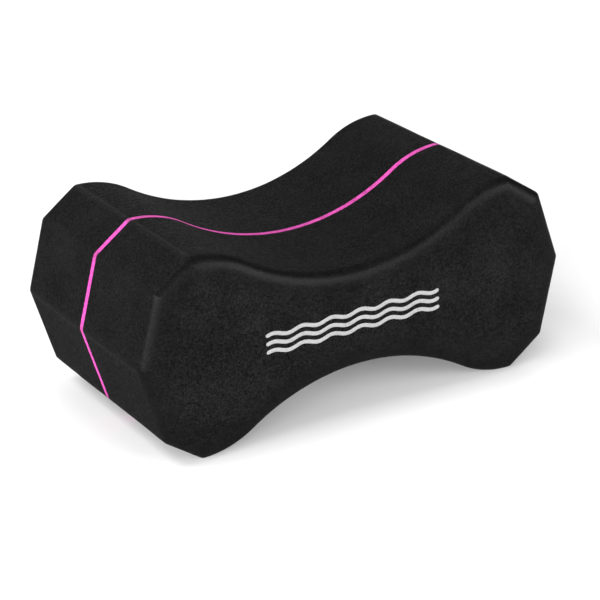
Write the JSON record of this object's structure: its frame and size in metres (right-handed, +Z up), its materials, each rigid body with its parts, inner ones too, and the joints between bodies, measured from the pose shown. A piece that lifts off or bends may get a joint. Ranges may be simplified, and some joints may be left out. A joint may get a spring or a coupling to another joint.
{
  "type": "pull buoy",
  "caption": "Hourglass pull buoy of black closed-cell foam with faceted ends, thigh saddles above and below, and a thin pink sheet through the middle.",
  "frame": {"origin": "under the middle of the block, on the surface that its two lower lobes stand on", "axes": "+X along the length, +Y from the printed front face to the plain rear face, +Z up"},
  "size_m": [0.2346, 0.1305, 0.1025],
  "materials": {
    "black_foam": "matte closed-cell EVA foam with a fine cut-cell grain",
    "pink_foam": "matte closed-cell EVA foam",
    "glue": "dried contact adhesive, satin",
    "print_ink": "matte screen-printed ink"
  },
  "bodies": {
    "root": {"front_foam_half": "black_foam", "rear_foam_half": "black_foam", "accent_layer": "pink_foam", "front_glue_film": "glue", "rear_glue_film": "glue", "print_wave_upper": "print_ink", "print_wave_middle": "print_ink", "print_wave_lower": "print_ink"}
  },
  "joints": []
}
